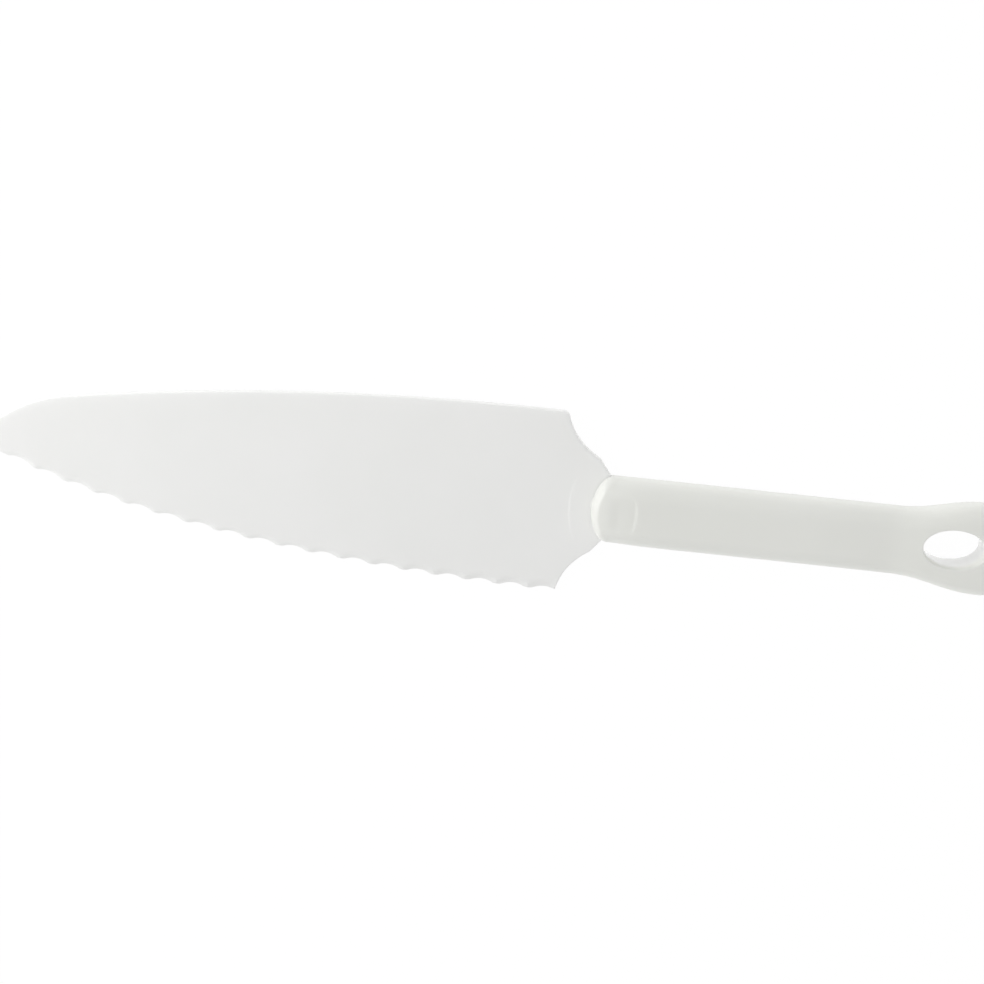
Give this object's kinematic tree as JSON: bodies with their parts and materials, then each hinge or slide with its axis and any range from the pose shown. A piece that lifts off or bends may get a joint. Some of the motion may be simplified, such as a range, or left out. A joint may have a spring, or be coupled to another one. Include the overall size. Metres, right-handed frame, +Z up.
{
  "type": "cake knife",
  "caption": "White plastic cake knife with a broad scalloped blade, a hollow rounded handle, a thumb dish and a hang hole in its flared end.",
  "frame": {"origin": "on the flat back that the knife lies on, under the middle of the handle's front, where the blade enters the handle", "axes": "+X along the handle to its end, +Y to the spine of the blade, +Z up out of the good face"},
  "size_m": [0.292, 0.0526, 0.0094],
  "materials": {
    "blade_plastic": "satin moulded white",
    "handle_plastic": "satin moulded warm white"
  },
  "bodies": {
    "root": {"blade": "blade_plastic", "handle_body": "handle_plastic", "handle_back_cover": "handle_plastic"}
  },
  "joints": []
}
